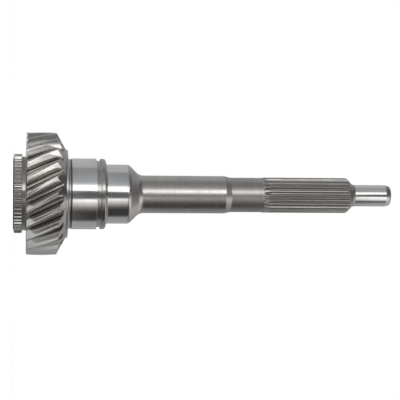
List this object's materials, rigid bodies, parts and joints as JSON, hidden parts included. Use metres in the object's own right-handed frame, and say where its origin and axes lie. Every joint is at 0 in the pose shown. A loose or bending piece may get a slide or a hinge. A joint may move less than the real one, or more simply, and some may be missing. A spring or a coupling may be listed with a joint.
{
  "type": "transmission input shaft",
  "caption": "One-piece steel input shaft with a helical drive gear, dog ring, bearing seat, seal surface, clutch splines and pilot journal.",
  "frame": {"origin": "centre of the rear face, the face with the spigot bore, on the shaft's axis; the shaft stands on this face", "axes": "+Z along the shaft's axis from the rear face to the pilot's tip; a gear tooth's crest points along -Y at the front end of the gear's full face width"},
  "size_m": [0.095, 0.095, 0.2982],
  "materials": {
    "steel": "machined case-hardened steel: ground journals, satin turned surfaces"
  },
  "bodies": {
    "root": {"input_shaft": "steel"}
  },
  "joints": []
}
